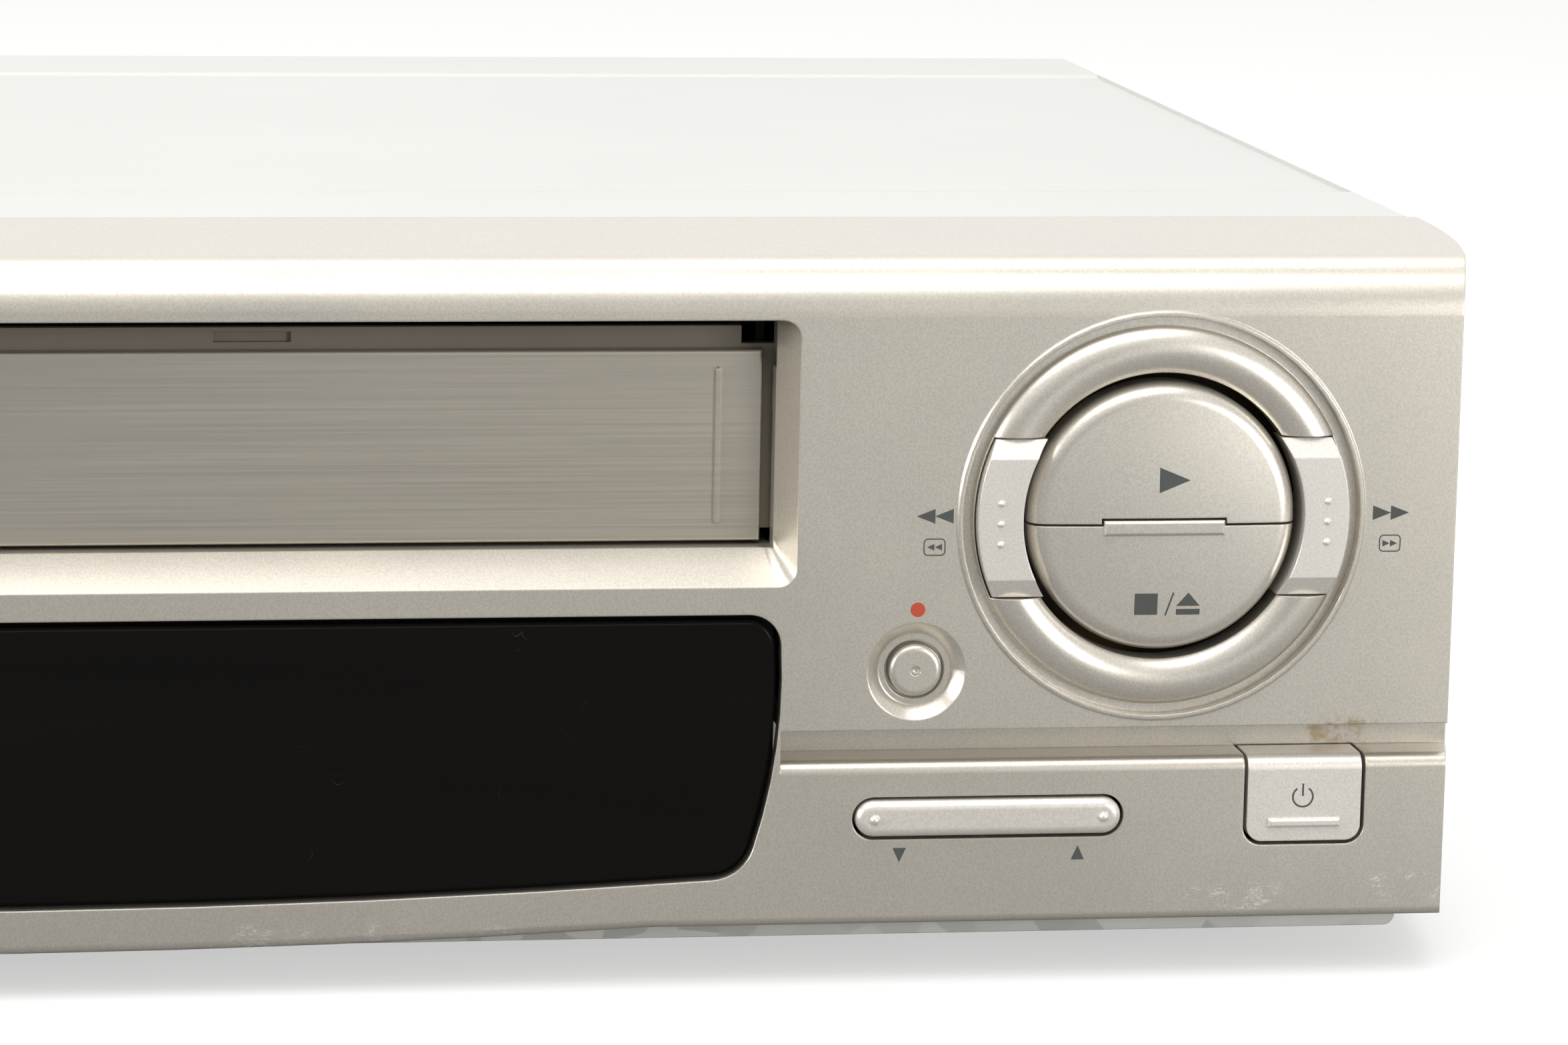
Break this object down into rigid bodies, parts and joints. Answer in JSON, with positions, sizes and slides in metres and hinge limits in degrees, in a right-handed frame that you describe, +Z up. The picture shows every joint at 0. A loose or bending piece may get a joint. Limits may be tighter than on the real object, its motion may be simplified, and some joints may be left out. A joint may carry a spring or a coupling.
{
  "type": "vhs video cassette recorder",
  "caption": "Slim silver video cassette recorder with a sprung cassette flap, dark display window, round transport keys, rocker, power key and working tape deck inside.",
  "frame": {"origin": "on the ground under the middle of the overall box", "axes": "+X to the right across the deck, front faces -Y, +Z up"},
  "size_m": [0.38, 0.278, 0.094],
  "materials": {
    "silver_bezel": "metallic silver paint on moulded plastic",
    "silver_keys": "metallic silver paint, worn bright at the edges",
    "cover_paint": "fine textured off-white silver paint on steel sheet",
    "zinc_steel": "bare zinc-plated steel sheet",
    "rear_steel": "grey painted steel sheet",
    "foot_rubber": "black rubber",
    "smoked_window": "glossy dark smoked acrylic",
    "door_facing": "horizontally brushed aluminium facing",
    "dark_plastic": "black moulded plastic",
    "grey_plastic": "grey moulded plastic",
    "white_plastic": "natural acetal",
    "board": "brown phenolic circuit board",
    "tube_glass": "display tube glass",
    "nickel": "nickel plating",
    "screw_steel": "blackened steel",
    "spring_steel": "spring steel",
    "drum_aluminium": "turned aluminium",
    "core_yellow": "yellow tape over ferrite core",
    "belt_rubber": "black rubber belt",
    "brass_gear": "brass"
  },
  "bodies": {
    "chassis": {"front_bezel": "silver_bezel", "display_window": "smoked_window", "dial_ring": "silver_keys", "top_cover": "cover_paint", "bottom_plate": "zinc_steel", "rear_panel": "rear_steel", "feet": "foot_rubber", "cover_screws": "screw_steel", "front_board": "board", "key_switches": "dark_plastic", "display_tube": "tube_glass", "main_board": "board", "deck_posts": "zinc_steel", "transformer": "core_yellow", "power_capacitors": "dark_plastic", "main_chips": "dark_plastic", "tuner_box": "zinc_steel", "aerial_sockets": "nickel", "av_jacks": "dark_plastic", "mains_inlet": "dark_plastic", "door_spring": "spring_steel", "deck_plate": "zinc_steel", "lift_frame": "zinc_steel", "drive_belt": "belt_rubber", "capstan_housing": "brass_gear", "lower_drum": "drum_aluminium", "drum_stator": "dark_plastic", "guide_rails": "dark_plastic", "guide_posts": "nickel", "erase_head": "nickel", "audio_head": "nickel", "loading_motor": "nickel"},
    "cassette_door": {"door_flap": "grey_plastic", "door_plate": "door_facing"},
    "play_key": {"play_button": "silver_keys"},
    "stop_key": {"stop_button": "silver_keys"},
    "rewind_key": {"rewind_button": "silver_keys"},
    "forward_key": {"forward_button": "silver_keys"},
    "record_key": {"record_button": "silver_keys"},
    "channel_key": {"channel_rocker": "silver_keys"},
    "power_key": {"power_button": "silver_keys"},
    "lift_carriage": {"lift_slider": "white_plastic"},
    "basket": {"cassette_basket": "zinc_steel"},
    "lift_pinion": {"lift_gear": "white_plastic"},
    "supply_table": {"supply_reel": "white_plastic"},
    "take_up_table": {"take_up_reel": "white_plastic"},
    "clutch": {"clutch_pulley": "dark_plastic"},
    "idler_lever": {"idler_arm": "dark_plastic"},
    "idler_wheel": {"idler_gear": "white_plastic"},
    "capstan_rotor": {"capstan": "spring_steel"},
    "head_drum": {"drum_rotor": "spring_steel", "upper_drum": "drum_aluminium"},
    "supply_carriage": {"supply_guide": "brass_gear"},
    "take_up_carriage": {"take_up_guide": "brass_gear"},
    "tension_lever": {"tension_arm": "zinc_steel"},
    "pinch_lever": {"pinch_arm": "zinc_steel"},
    "pinch_wheel": {"pinch_roller": "belt_rubber"},
    "cam_wheel": {"cam_gear": "white_plastic"},
    "worm_shaft": {"worm": "brass_gear"}
  },
  "joints": [
    {"name": "door_hinge", "type": "hinge", "parent": "chassis", "child": "cassette_door", "pos_m": [0, -0.1294, 0.084], "axis": [1, 0, 0], "range_deg": [0, 88], "stiffness_Nm_per_rad": 0.004, "springref_deg": -28.65},
    {"name": "play_press", "type": "slide", "parent": "chassis", "child": "play_key", "axis": [0, 1, 0], "range_m": [0, 0.0008], "stiffness_N_per_m": 500, "springref_m": -0.0006},
    {"name": "stop_press", "type": "slide", "parent": "chassis", "child": "stop_key", "axis": [0, 1, 0], "range_m": [0, 0.0008], "stiffness_N_per_m": 500, "springref_m": -0.0006},
    {"name": "rewind_press", "type": "slide", "parent": "chassis", "child": "rewind_key", "axis": [0, 1, 0], "range_m": [0, 0.0008], "stiffness_N_per_m": 500, "springref_m": -0.0006},
    {"name": "forward_press", "type": "slide", "parent": "chassis", "child": "forward_key", "axis": [0, 1, 0], "range_m": [0, 0.0008], "stiffness_N_per_m": 500, "springref_m": -0.0006},
    {"name": "record_press", "type": "slide", "parent": "chassis", "child": "record_key", "axis": [0, 1, 0], "range_m": [0, 0.0008], "stiffness_N_per_m": 500, "springref_m": -0.0006},
    {"name": "power_press", "type": "slide", "parent": "chassis", "child": "power_key", "axis": [0, 1, 0], "range_m": [0, 0.0008], "stiffness_N_per_m": 500, "springref_m": -0.0006},
    {"name": "channel_rock", "type": "hinge", "parent": "chassis", "child": "channel_key", "pos_m": [0.1239, -0.131, 0.02207], "axis": [0, 0, 1], "range_deg": [-2.5, 2.5], "stiffness_Nm_per_rad": 0.2},
    {"name": "carriage_slide", "type": "slide", "parent": "chassis", "child": "lift_carriage", "axis": [0, 1, 0], "range_m": [0, 0.058]},
    {"name": "basket_lift", "type": "slide", "parent": "lift_carriage", "child": "basket", "axis": [0, 0, -1], "range_m": [0, 0.021]},
    {"name": "lift_gear_spin", "type": "hinge", "parent": "chassis", "child": "lift_pinion", "pos_m": [0.098, -0.04, 0.0321], "axis": [1, 0, 0], "range_deg": [-832, 0]},
    {"name": "supply_spin", "type": "hinge", "parent": "chassis", "child": "supply_table", "pos_m": [-0.04605, -0.053, 0.03], "axis": [0, 0, 1], "continuous": true},
    {"name": "take_up_spin", "type": "hinge", "parent": "chassis", "child": "take_up_table", "pos_m": [0.04605, -0.053, 0.03], "axis": [0, 0, 1], "continuous": true},
    {"name": "capstan_spin", "type": "hinge", "parent": "chassis", "child": "capstan_rotor", "pos_m": [0.066, 0.011, 0.03], "axis": [0, 0, 1], "continuous": true},
    {"name": "clutch_spin", "type": "hinge", "parent": "chassis", "child": "clutch", "pos_m": [0, -0.067, 0.025], "axis": [0, 0, 1], "continuous": true},
    {"name": "idler_swing", "type": "hinge", "parent": "chassis", "child": "idler_lever", "pos_m": [0, -0.067, 0.029], "axis": [0, 0, 1], "range_deg": [-37, 37]},
    {"name": "idler_spin", "type": "hinge", "parent": "idler_lever", "child": "idler_wheel", "pos_m": [0, -0.045, 0.031], "axis": [0, 0, 1], "continuous": true},
    {"name": "drum_spin", "type": "hinge", "parent": "chassis", "child": "head_drum", "pos_m": [0, 0.041, 0.033], "axis": [0, -0.1028, 0.9947], "continuous": true},
    {"name": "tension_swing", "type": "hinge", "parent": "chassis", "child": "tension_lever", "pos_m": [-0.056, -0.013, 0.032], "axis": [0, 0, 1], "range_deg": [0, 12], "stiffness_Nm_per_rad": 0.01, "springref_deg": -11.46},
    {"name": "cam_spin", "type": "hinge", "parent": "chassis", "child": "cam_wheel", "pos_m": [-0.062, 0.059, 0.0346], "axis": [0, 0, 1], "range_deg": [0, 170.5]},
    {"name": "worm_spin", "type": "hinge", "parent": "chassis", "child": "worm_shaft", "pos_m": [-0.062, 0.0773, 0.0346], "axis": [1, 0, 0], "range_deg": [0, 2387]},
    {"name": "supply_load", "type": "slide", "parent": "chassis", "child": "supply_carriage", "axis": [-0.1996, 0.9799, 0], "range_m": [0, 0.0551]},
    {"name": "take_up_load", "type": "slide", "parent": "chassis", "child": "take_up_carriage", "axis": [0.1996, 0.9799, 0], "range_m": [0, 0.0552]},
    {"name": "pinch_swing", "type": "hinge", "parent": "chassis", "child": "pinch_lever", "pos_m": [0.088, 0.029, 0.037], "axis": [0, 0, 1], "range_deg": [0, 30.1]},
    {"name": "pinch_spin", "type": "hinge", "parent": "pinch_lever", "child": "pinch_wheel", "pos_m": [0.0675, 0.02875, 0.048], "axis": [0, 0, 1], "continuous": true}
  ],
  "couplings": [
    {"joint": "lift_gear_spin", "follows": "carriage_slide", "rad_per_m": -250},
    {"joint": "clutch_spin", "follows": "capstan_spin", "ratio": 0.64286},
    {"joint": "idler_spin", "follows": "capstan_spin", "ratio": -0.66712},
    {"joint": "take_up_load", "follows": "supply_load", "ratio": 1},
    {"joint": "cam_spin", "follows": "supply_load", "rad_per_m": 53.84},
    {"joint": "worm_spin", "follows": "supply_load", "rad_per_m": 753.76},
    {"joint": "pinch_swing", "follows": "supply_load", "rad_per_m": 9.5012}
  ]
}
